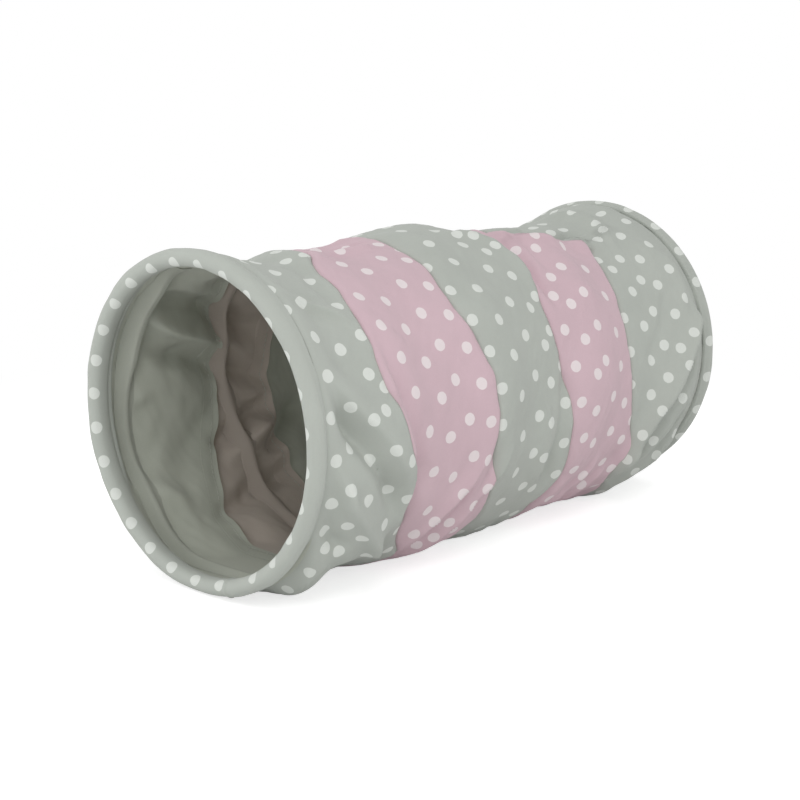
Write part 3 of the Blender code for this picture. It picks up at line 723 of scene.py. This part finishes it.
# every face's corners as seen from the centre of the dot nearest to the face
def dotOffsets(points, centres):
    corners = faceCorners(points)
    middle = corners.mean(axis=2)
    best = np.full(middle.shape[:2], 1e9)
    nearest = np.zeros(middle.shape)
    for centre in centres:
        gap = np.linalg.norm(middle - centre, axis=-1)
        near = gap < best
        best = np.where(near, gap, best)
        nearest[near] = centre
    return corners - nearest[:, :, None, :]


# the groove at a seam: a deep, narrow dip in a shallow, broad one
tuckShape = {"hem": 0.0007, "seam": 0.0013, "shallow": 0.4, "narrow": 0.0016, "broad": 0.005}


def dip(gap, deep, shallow):
    return (deep * np.exp(-(gap / tuckShape["narrow"]) ** 2)
            + shallow * np.exp(-(gap / tuckShape["broad"]) ** 2))


def seamTuck(x, angle, index):
    drop = np.zeros(np.broadcast(x, angle).shape)
    for seam in (index, index + 1):
        deep = tuckShape["hem" if seam in (0, 5) else "seam"]
        drop += dip(np.abs(x - seamX(seam, angle)), deep, deep * tuckShape["shallow"])
    return drop


# where a band's rings of points start, in degrees, and what it keeps to a seam's line
bandEdge = {"start": 72, "seamGap": 0.0001}


# a band's node and body are named after its place and colour
def dressBand(piece, plan, node=None):
    body = plan["place"] + "_" + plan["colour"] + "_cloth"
    dress(piece, body, node)


def makeBand(index, plan):
    ground, gap = tunnel["groundGap"], bandEdge["seamGap"]
    angle = evenTurns(ringSteps) + math.radians(bandEdge["start"])
    start, end = seamX(index, angle) + gap, seamX(index + 1, angle) - gap
    rows = int(round(float(np.mean(end - start)) / rowStep))
    xs = start + (end - start) * np.linspace(0, 1, rows + 1)[:, None]
    angles = np.broadcast_to(angle, xs.shape)
    middle = clothRadius(xs, angles) - seamTuck(xs, angles, index)
    outer = roundAxis(xs, angles, middle + clothThick / 2, ground)
    inner = roundAxis(xs, angles, middle - clothThick / 2, ground + clothThick)

    # the cloth laid flat: length along from the band's middle, and length round
    along = lengthsAlong(outer)
    plan["cut"] = (float(np.mean(along[-1])), float(np.mean(fullTurn * middle)))
    along -= [np.interp(plan["middle"], xs[:, k], along[:, k]) for k in range(ringSteps)]
    length = fullTurn * printPlan["radius"]
    across = np.unwrap(printLength(angle), period=length)
    flat = cornerMap(np.concatenate([along, along[::-1]]), across, length)

    spotX, spotAngle = np.array(printedDots(index, plan)).T
    spotRadius = clothRadius(spotX, spotAngle) - seamTuck(spotX, spotAngle, index)
    dots = roundAxis(spotX, spotAngle, spotRadius + clothThick / 2, ground)
    points = np.concatenate([outer, inner[::-1]])
    name = plan["place"] + plan["colour"].capitalize() + "Cloth"
    piece = ringMesh(name, points, clothLooks[plan["colour"]], [0] * rows + [1] * (rows + 2), flat,
                     dotOffsets(points, dots))
    dressBand(piece, plan, node=plan["place"] + "_" + plan["colour"] + "_band")
    print(name, "cut", [round(c, 4) for c in plan["cut"]])
    return piece


for index, plan in enumerate(bandPlans):
    plan["piece"] = makeBand(index, plan)
print("bands sewn")

# spacing of a hem's dots, place of the first, place of the strip's joint and of the row of
# dots on the roll, all in degrees
hemPlans = [
    {"place": "front", "side": -1, "body": "front_end",
     "spacing": 13.1, "firstDot": 258.5, "joint": 255.0, "dotAt": 222.0},
    {"place": "rear", "side": 1, "body": "rear_end",
     "spacing": 14.6, "firstDot": 174.5, "joint": 5.0, "dotAt": 76.0},
]
hem = {
    "wall": 4.3, "edge": [(4.75, -0.6), (4.62, 0.4), (4.30, 1.2)], "from": 26, "to": 256,
    "inside": [(0.4, -4.30), (1.8, -4.20), (3.1, -3.92), (4.3, -3.48), (5.3, -2.92), (6.0, -2.30),
               (6.4, -1.72), (6.7, -1.40), (7.2, -1.40), (7.8, -1.60), (8.6, -1.40), (9.4, -0.90)],
    "thick": 0.0009, "edgeThick": (0.35, 0.8), "roll": (0.0058, 0.002),
    "swell": [(0.00022, 0.006, 60, 12), (0.00030, 0.012, 21, 22)], "swellRadius": 0.004,
    "pucker": 0.0006, "puckerRadius": 85, "puckerWidth": 1.3,
    "lipDrop": 0.0044, "lipSteps": (4.5, 3.5), "lipBelow": (2.2, 0.8),
    "edgeLift": 0.9, "over": 0.0010, "overEase": 0.0006, "overFrom": 0.001, "overLength": 0.003,
}


# the folded strip's middle line: towards the tunnel's middle, then outwards, in metres
def hemSection():
    turns = np.radians(hem["from"] + (hem["to"] - hem["from"]) * np.arange(25) / 24)
    roll = [(hem["wall"] * math.cos(a), hem["wall"] * math.sin(a)) for a in turns]
    return np.array(hem["edge"] + roll + hem["inside"]) / 1000


def makeHem(plan):
    line, side, thick = hemSection(), plan["side"], hem["thick"]
    steps = ringSteps * 2
    angle = evenTurns(steps) + math.radians(plan["joint"])
    tangent = unit(np.gradient(line, axis=0))
    normal = np.stack([-tangent[:, 1], tangent[:, 0]], -1)
    sectionAngle = np.arctan2(line[:, 1], line[:, 0])
    sectionAngle = np.where(sectionAngle < -0.05, sectionAngle + fullTurn, sectionAngle)
    rollEnd, rollEase = hem["roll"]
    onRoll = smoothStep((rollEnd - np.abs(line[:, 0])) / rollEase)
    attach = hemAttach(angle, side > 0)
    fromJoint = (angle - angle[0]) * hem["puckerRadius"] / hem["puckerWidth"]
    puckers = np.exp(-fromJoint ** 2) * hem["pucker"]
    lipSteps, lipEase = hem["lipSteps"]
    below, belowFrom = hem["lipBelow"]
    outer, inner = [], []
    for rows, offset in ((outer, -thick / 2), (inner, thick / 2)):
        for i, (p, q) in enumerate(line):
            thin = offset * (hem["edgeThick"][i] if i < 2 else 1.0)
            place = np.full(steps, sectionAngle[i] * hem["swellRadius"])
            swell = 0
            for height, cellLong, cellsRound, seed in hem["swell"]:
                swell = swell + height * lumps(place, angle, cellLong, cellsRound, seed + side)
            swell = swell + puckers
            across = p + normal[i][0] * (thin - swell * onRoll[i])
            out = q + normal[i][1] * (thin - swell * onRoll[i])
            drop = (smoothStep((i - len(line) + lipSteps) / lipEase)
                    * smoothStep(-np.sin(angle) * below - belowFrom))
            out = out + hem["lipDrop"] * drop
            if i < len(hem["edge"]):
                out = out + attach * hem["edgeLift"]
            elif q > 0 and p > -hem["overFrom"]:
                flow = attach + hem["over"] - thin
                share = smoothStep((p + hem["overFrom"]) / hem["overLength"])
                out = out + softExcess(flow - out, hem["overEase"]) * share
            lowest = tunnel["groundGap"] + (0 if offset < 0 else thick)
            rows.append(roundAxis(side * (tunnel["hoopPlane"] - across), angle,
                                  tunnel["hoopRadius"] + out, lowest))

    # the strip laid flat, and the centres of its dots
    along = lengthsAlong(line)
    nearest = int(np.argmin(np.abs(sectionAngle - math.radians(plan["dotAt"]))))
    length = fullTurn * tunnel["hoopRadius"]
    count = int(360 / plan["spacing"])
    turns = np.radians(plan["firstDot"] + np.arange(count) * plan["spacing"])
    out = line[nearest] - normal[nearest] * thick / 2
    dots = roundAxis(np.full(count, side * (tunnel["hoopPlane"] - out[0])), turns,
                     np.full(count, tunnel["hoopRadius"] + out[1]), tunnel["groundGap"])
    points = np.array(outer + inner[::-1])
    flatU = along - along[nearest]
    flatU = np.concatenate([flatU, flatU[::-1]])
    kinds = [0] * (len(line) - 1) + [1] * (len(line) + 1)
    if side < 0:
        points, flatU = points[::-1], flatU[::-1]
        kinds = [1] * len(line) + [0] * (len(line) - 1) + [1]
    flatV = (angle - math.radians(plan["firstDot"])) * tunnel["hoopRadius"]
    piece = ringMesh(plan["place"] + "Hem", points, clothLooks["sage"], kinds,
                     cornerMap(flatU[:, None], flatV, length), dotOffsets(points, dots))
    dress(piece, plan["body"], plan["place"] + "_hem_sleeve")


for plan in hemPlans:
    makeHem(plan)
print("hems folded")

wadding = {"outer": 0.00315, "inner": 0.00165, "from": 266.0, "to": 614.0,
           "steps": 220, "sides": 16, "lump": 0.10, "ridge": 0.04}


def makeWadding(plan):
    side, steps, sides = plan["side"], wadding["steps"], wadding["sides"]
    rng = np.random.RandomState(31 + side)
    angle = np.radians(np.linspace(wadding["from"], wadding["to"], steps))
    turn = evenTurns(sides)
    lump = 1 - wadding["lump"] * np.abs(lumps(angle * 0.01, angle, 0.004, 70, 41 + side))
    ridge = rng.uniform(-wadding["ridge"], 0.0, (steps, sides))
    outer, inner = [], []
    for k in range(steps):
        sizes = wadding["outer"] * (lump[k] + ridge[k]), np.full(sides, wadding["inner"])
        for rows, size in zip((outer, inner), sizes):
            p, q = size * np.cos(turn), size * np.sin(turn)
            rows.append(roundAxis(side * (tunnel["hoopPlane"] - p), angle[k], tunnel["hoopRadius"] + q))
    points = np.array(outer + inner[::-1])
    piece = ringMesh(plan["place"] + "Wadding", points[::-1] if side > 0 else points, [waddingLook])
    dress(piece, plan["body"], plan["place"] + "_hem_padding")


for plan in hemPlans:
    makeWadding(plan)
print("hems stuffed")

# what the wire and tape keep to the cloth: lower over the seam allowances, which lie from
# before to after a seam, and never under the ground
lining = {"end": 0.1655, "gap": 0.0002, "sewn": 0.0011, "before": (0.0135, 0.002),
          "after": (0.0030, 0.0025), "ground": (0.0011, 0.0012), "flat": -0.3}


def innerFace(x, angle):
    x = np.clip(x, -lining["end"], lining["end"])
    radius = clothRadius(x, angle) - clothThick / 2 - lining["gap"]
    (before, easeIn), (after, easeOut) = lining["before"], lining["after"]
    sewn = 0
    for seam in seamLines:
        ahead = x - seamX(seam, angle)
        sewn = sewn + smoothStep((ahead + before) / easeIn) * smoothStep((after - ahead) / easeOut)
    radius = radius - lining["sewn"] * sewn
    lowest, sewnLowest = lining["ground"]
    height = overGround(tunnel["axisHeight"] + radius * np.sin(angle), lowest + sewnLowest * sewn)
    eased = (height - tunnel["axisHeight"]) / np.minimum(np.sin(angle), lining["flat"])
    return np.where(np.sin(angle) < lining["flat"], eased, radius)


def smoothed(values, width):
    kernel = np.hanning(2 * width + 3)[1:-1]
    return np.convolve(np.pad(values, width, mode="edge"), kernel / kernel.sum(), mode="valid")


# room under the cloth over the wire's whole width, and the steps in which it leaves a cap
wireRoom = {"half": 0.0018, "turns": (-0.05, -0.02, 0.0, 0.02, 0.05), "gap": 0.00015,
            "capSteps": 9, "straight": 4, "ease": 5}


def spiralLine():
    whole = spiral["turns"]
    turns = np.linspace(0, whole, whole * spiral["steps"] + 1)
    x = spiralX(turns)
    angle = math.radians(tunnel["spiralAngle"]) + fullTurn * turns
    room = np.full(len(turns), 1.0)
    for along in np.linspace(-wireRoom["half"], wireRoom["half"], 5):
        for turn in wireRoom["turns"]:
            room = np.minimum(room, innerFace(x + along, angle + turn))
    room = smoothed(np.minimum(room, smoothed(room, 3)), 2)
    room = room - wireRoom["gap"] - spiral["wire"] / 2
    for node, end, step in (("rear_spiral_cap", 0, 1), ("front_spiral_cap", -1, -1)):
        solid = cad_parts[node]
        middle = np.array([solid.matrix_world @ v.co for v in solid.data.vertices]).mean(axis=0)
        capRadius = math.hypot(middle[1], middle[2] - tunnel["axisHeight"])
        for k in range(wireRoom["capSteps"]):
            share = float(smoothStep((k - wireRoom["straight"]) / wireRoom["ease"]))
            at = end + step * k
            room[at] = capRadius + (room[at] - capRadius) * share
    return x, angle, room


# round wire along the points, with filled ends
def tubeAlong(name, points, radius, sides, material):
    along = unit(np.gradient(points, axis=0))
    out = unit(points * (0, 1, 1) - (0, 0, tunnel["axisHeight"]))
    out = unit(out - along * np.sum(out * along, axis=1, keepdims=True))
    across = np.cross(along, out)
    turn = evenTurns(sides)[None, :, None]
    section = np.cos(turn) * out[:, None, :] + np.sin(turn) * across[:, None, :]
    piece = ringMesh(name, points[:, None, :] + radius * section, [material], shell=False)
    work = bmesh.new()
    work.from_mesh(piece.data)
    bmesh.ops.holes_fill(work, edges=[e for e in work.edges if e.is_boundary], sides=0)
    bmesh.ops.recalc_face_normals(work, faces=work.faces)
    work.to_mesh(piece.data)
    work.free()
    piece.data.shade_smooth()
    return piece


spiralAlong, spiralAngle, spiralRoom = spiralLine()
wirePoints = roundAxis(spiralAlong, spiralAngle, spiralRoom)
wire = tubeAlong("spiralWire", wirePoints, spiral["wire"] / 2, 10, steelLook)
dress(wire, "rear_end", "spiral_spring")
print("spiral wound")

tapeFit = {
    "places": [-1, -0.86, -0.7, -0.54, -0.4, -0.27, -0.13, 0, 0.13, 0.27, 0.4, 0.54, 0.7, 0.86, 1.0],
    "over": 12, "overShare": 0.8, "capRadius": 0.0024, "capSteps": 6, "endSteps": 4, "edgeThin": 0.8,
    "gap": 0.0001, "clothGap": 0.00008, "saddle": 0.7, "blend": 0.002, "smooth": (2, 3),
}


# the tape lies on the cloth and rises over the wire; it runs on past both of its ends
def makeTape():
    half, thick, over = spiral["tape"] / 2, spiral["tapeThick"], tapeFit["over"]
    places = np.array(tapeFit["places"]) * half
    beyond = np.arange(1, over + 1) * fullTurn / spiral["steps"] * tapeFit["overShare"]
    angle = np.concatenate([spiralAngle[0] - beyond[::-1], spiralAngle, spiralAngle[-1] + beyond])
    x, wireAt = np.pad(spiralAlong, over, mode="edge"), np.pad(spiralRoom, over, mode="edge")
    core = np.full(len(x), spiral["wire"] / 2)
    capped, bare = over + tapeFit["capSteps"], tapeFit["endSteps"]
    core[:capped] = core[-capped:] = tapeFit["capRadius"]
    fade = np.ones(len(x))
    fade[:bare] = fade[-bare:] = 0
    core, fade = (smoothed(values, width) for values, width in zip((core, fade), tapeFit["smooth"]))
    under = wireAt - core - tapeFit["gap"]
    saddle = core * tapeFit["saddle"]
    skins = [[], []]
    for place in places:
        hug = innerFace(x + place, angle) + tapeFit["clothGap"]
        hump = np.clip((np.abs(place) - saddle) / (half - saddle), 0, 1)
        share = (smoothStep(1 - hump) + 1 - hump) / 2 * fade
        radius = hug + np.minimum(under - hug, 0) * share
        edge = thick * (1 - tapeFit["edgeThin"] * (place / half) ** 4)
        for layer, skin in enumerate(skins):
            skin.append(roundAxis(x + place, angle, radius - edge * layer))
    grid = np.array(skins[0] + skins[1][::-1])
    count, steps = grid.shape[:2]
    index = np.arange(count * steps).reshape(count, steps)
    faces = faceCorners(index)[:, :-1].reshape(-1, 4).tolist()
    faces += [index[:, 0].tolist(), index[::-1, -1].tolist()]
    look = sheerTape("bindingTape", clothColours["sageTapePaintedShade"], clothColours["pinkTapePaintedShade"])
    mesh = newMesh("spiralTape", grid.reshape(-1, 3).tolist(), faces, [look])
    along = lengthsAlong(grid[len(places) // 2])
    u, v = np.repeat(np.concatenate([places, places[::-1]]), steps), np.tile(along, count)
    corners = np.array([loop.vertex_index for loop in mesh.loops])
    setLayer(mesh.uv_layers.new(name="clothMap").data, "uv", np.stack([u[corners], v[corners]], -1))
    pink = np.zeros(x.shape)
    for first, last in ((1, 2), (3, 4)):
        pink += (smoothStep((x - seamX(first, angle)) / tapeFit["blend"] + 0.5)
                 * smoothStep((seamX(last, angle) - x) / tapeFit["blend"] + 0.5))
    setLayer(mesh.attributes.new("pinkUnder", "FLOAT", "POINT").data, "value", np.tile(pink, count))
    mesh.shade_smooth()
    mesh.set_sharp_from_angle(angle=math.radians(60))
    piece = addObject("spiralTape", mesh)
    dress(piece, "rear_end", "spiral_tape")
    return piece


tape = makeTape()
print("tape laid")

stitch = {"length": 0.0026, "gap": 0.0006, "radius": 0.00028, "sides": 6, "lift": 0.8,
          "profile": (0.35, 0.9, 1.0, 0.9, 0.35)}


# a row of stitches along a closed line of points, each arched outwards
def stitchRow(name, x, radius, angle):
    ring = roundAxis(x, angle, radius)
    closed = np.concatenate([ring, ring[:1]])
    length = lengthsAlong(closed)
    count = int(length[-1] / (stitch["length"] + stitch["gap"]))
    sides, thread, profile = stitch["sides"], stitch["radius"], stitch["profile"]
    cross = np.array([1.0, 0, 0])
    vertices, faces = [], []
    for k in range(count):
        at = length[-1] * (k + 0.5) / count
        rings = []
        for place, size in zip(np.linspace(-0.5, 0.5, len(profile)), profile):
            here = (at + place * stitch["length"]) % length[-1]
            centre = np.array([np.interp(here, length, closed[:, c]) for c in range(3)])
            out = unit(np.array([0, centre[1], centre[2] - tunnel["axisHeight"]]))
            lift = thread * (1 - 4 * place ** 2) * stitch["lift"]
            start = len(vertices)
            for side in range(sides):
                turn = fullTurn * side / sides
                vertices.append(centre + out * (lift + math.cos(turn) * thread * size)
                                + cross * math.sin(turn) * thread * size)
            rings.append(range(start, start + sides))
        for a, b in zip(rings, rings[1:]):
            faces += [(a[i], a[(i + 1) % sides], b[(i + 1) % sides], b[i]) for i in range(sides)]
        faces += [tuple(rings[0])[::-1], tuple(rings[-1])]
    mesh = newMesh(name, [tuple(v) for v in vertices], faces, [threadLook])
    mesh.shade_smooth()
    return addObject(name, mesh)


# the seams between bands, by the names of their pieces and of their solids
seamPlans = [
    ("frontSagePink", "front_sage_pink"), ("frontPinkSage", "front_pink_sage"),
    ("rearSagePink", "rear_sage_pink"), ("rearPinkSage", "rear_pink_sage"),
]
allowance = {"width": 0.0105, "thick": 0.0002, "rows": 7, "shallow": 0.0005, "gap": 0.0001,
             "swell": 0.00012, "mapRadius": 0.088, "groundGap": 0.0002,
             "stitchAt": 0.0035, "stitchGap": 0.0007, "stitchHeight": 0.0022, "flat": 0.3}
ringAngle = evenTurns(ringSteps)


# the allowance that lies on the band in front of a seam, and the stitches through it
def makeSeamInside(name, node, seam, plan):
    seamLine = seamX(seam, ringAngle)
    width, thick = allowance["width"], allowance["thick"]
    lowest = tunnel["groundGap"] + clothThick + allowance["groundGap"]
    shares = np.linspace(0.0, 1.0, allowance["rows"])
    skins = [[], []]
    for share in shares:
        x = seamLine - width * share
        tuck = dip(x - seamLine, tuckShape["seam"], allowance["shallow"])
        swell = 0.5 + 0.5 * lumps(x, ringAngle, 0.01, 60, 70 + seam)
        lift = allowance["gap"] + allowance["swell"] * share * swell
        radius = clothRadius(x, ringAngle) - tuck - clothThick / 2 - lift
        for layer, skin in enumerate(skins):
            skin.append(roundAxis(x, ringAngle, radius - thick * layer, lowest + thick * layer))
    points = np.array(skins[0] + skins[1][::-1])[::-1]
    flatU = np.concatenate([shares, shares[::-1]])[::-1, None] * width
    flatV = ringAngle * allowance["mapRadius"]
    strip = ringMesh(name + "Allowance", points, clothLooks[plan["colour"]][1:],
                     flat=cornerMap(flatU, flatV, fullTurn * allowance["mapRadius"]))
    dressBand(strip, plan)
    length = float(fullTurn * np.mean(clothRadius(seamLine, ringAngle)))
    x = seamLine - allowance["stitchAt"]
    radius = clothRadius(x, ringAngle) - clothThick / 2 - allowance["stitchGap"] - thick
    down, flat = -np.sin(ringAngle), allowance["flat"]
    overFloor = (tunnel["axisHeight"] - allowance["stitchHeight"]) / np.maximum(down, flat)
    radius = np.where(down > flat, np.minimum(radius, overFloor), radius)
    stitches = stitchRow(name + "Stitches", x, radius, ringAngle)
    dressBand(stitches, plan, node + "_thread")
    return strip, stitches


# pieces that go with a band, each with the place of that band's middle
followers = []
for seam, (name, node) in enumerate(seamPlans, 1):
    plan = bandPlans[seam - 1]
    followers += [(piece, plan["middle"]) for piece in makeSeamInside(name, node, seam, plan)]

hemStitch = {"inward": 0.0004, "gap": 0.0002}
for plan in hemPlans:
    x = np.full(ringSteps, plan["side"] * (tunnel["bandEnd"] - hemStitch["inward"]))
    radius = np.full(ringSteps, tunnel["hoopRadius"] + clothThick / 2 + hemStitch["gap"])
    plan["stitches"] = stitchRow(plan["place"] + "HemStitches", x, radius, ringAngle)
    dress(plan["stitches"], plan["body"], plan["place"] + "_hem_thread")
print("seams stitched")

# the pieces that keep their solids get a finish
for place in ("front", "rear"):
    for part, look in (("_hoop", steelLook), ("_hoop_ferrule", steelLook), ("_spiral_cap", capLook)):
        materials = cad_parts[place + part].data.materials
        materials.clear()
        materials.append(look)
print("hidden metal and caps finished")


def foldTo(piece):
    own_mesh(piece)


for piece, middle in [(plan["piece"], plan["middle"]) for plan in bandPlans] + followers:
    foldTo(piece)
for piece in (wire, tape):
    foldTo(piece)
for plan in hemPlans:
    foldTo(plan["stitches"])

studio = {
    "floorSize": 6.0,
    "floorColour": (0.88, 0.88, 0.88),
    "floorSeen": (1.95, 1.95, 1.95),
    "floorFade": (0.26, 0.55, 0.7, 1),    # distances near and far, and the share of white there
    "worldLight": 0.73,
    "aim": (0, 0, 0.09),
    "lamps": [
        {"name": "keyLamp", "place": (-0.75, -0.80, 1.15), "size": 0.5, "power": 4.5},
        {"name": "mouthLamp", "place": (-1.5, 0.25, 0.55), "size": 0.8, "power": 1.2},
        {"name": "frontLamp", "place": (-1.3, -0.80, 0.45), "size": 0.8, "power": 1.9},
        {"name": "leftLamp", "place": (-0.8, 1.3, 0.5), "size": 1.0, "power": 4.5},
        {"name": "rightLamp", "place": (0.5, -1.5, 0.5), "size": 1.2, "power": 1.2},
    ],
}


# paper that the camera sees brighter than it lights the tunnel, and white farther off
def makeFloor():
    bpy.ops.object.select_all(action="DESELECT")
    bpy.ops.mesh.primitive_plane_add(size=studio["floorSize"], location=(0, 0, 0))
    floor = bpy.context.active_object
    floor.name = "studioFloor"
    material, tree, shader = newMaterial("floorPaper")
    feedAll(tree, shader, {"Base Color": studio["floorColour"], "Roughness": 0.9})
    glow = addNode(tree, "Emission")
    glow.inputs["Strength"].default_value = 1.0
    bright = addNode(tree, "BsdfDiffuse")
    feed(tree, bright.inputs["Color"], studio["floorSeen"])
    camera = addNode(tree, "LightPath").outputs["Is Camera Ray"]
    paper = mixShader(tree, camera, shader.outputs[0], bright.outputs[0])
    far = mapRange(tree, lengthOf(tree, objectCoords(tree)), *studio["floorFade"], True)
    seen = mathNode(tree, "MULTIPLY", far, camera)
    surface = mixShader(tree, seen, paper, glow.outputs[0])
    tree.links.new(surface, tree.nodes["Material Output"].inputs["Surface"])
    floor.data.materials.append(material)


def makeWorld():
    world = bpy.data.worlds.new("studioWorld")
    bpy.context.scene.world = world
    world.use_nodes = True
    tree = world.node_tree
    light, white = tree.nodes["Background"], addNode(tree, "Background")
    feedAll(tree, light, {"Color": (1, 1, 1), "Strength": studio["worldLight"]})
    feedAll(tree, white, {"Color": (1, 1, 1), "Strength": 1.0})
    rays = addNode(tree, "LightPath").outputs
    seen = mathNode(tree, "MAXIMUM", rays["Is Camera Ray"], rays["Is Glossy Ray"])
    seen = mathNode(tree, "MAXIMUM", seen, rays["Is Transmission Ray"])
    surface = mixShader(tree, seen, light.outputs[0], white.outputs[0])
    tree.links.new(surface, tree.nodes["World Output"].inputs["Surface"])


def makeLamps():
    for lamp in studio["lamps"]:
        light = bpy.data.lights.new(lamp["name"], "AREA")
        light.size = lamp["size"]
        light.energy = lamp["power"]
        holder = addObject(lamp["name"], light)
        holder.location = lamp["place"]
        aim = Vector(studio["aim"]) - Vector(lamp["place"])
        holder.rotation_euler = aim.to_track_quat("-Z", "Y").to_euler()


cameraLook = {"place": (-0.6865, -0.6118, 0.2771), "turn": (77.58, 0.0, -47.49),
              "lens": 72.29, "sensor": 36}


def makeCamera():
    lens = bpy.data.cameras.new("photoCamera")
    lens.lens = cameraLook["lens"]
    lens.sensor_width = cameraLook["sensor"]
    holder = addObject("photoCamera", lens)
    holder.location = cameraLook["place"]
    holder.rotation_euler = [math.radians(a) for a in cameraLook["turn"]]
    bpy.context.scene.camera = holder


makeFloor()
makeWorld()
makeLamps()
makeCamera()
bpy.context.scene.view_settings.view_transform = "Standard"
print("studio ready")
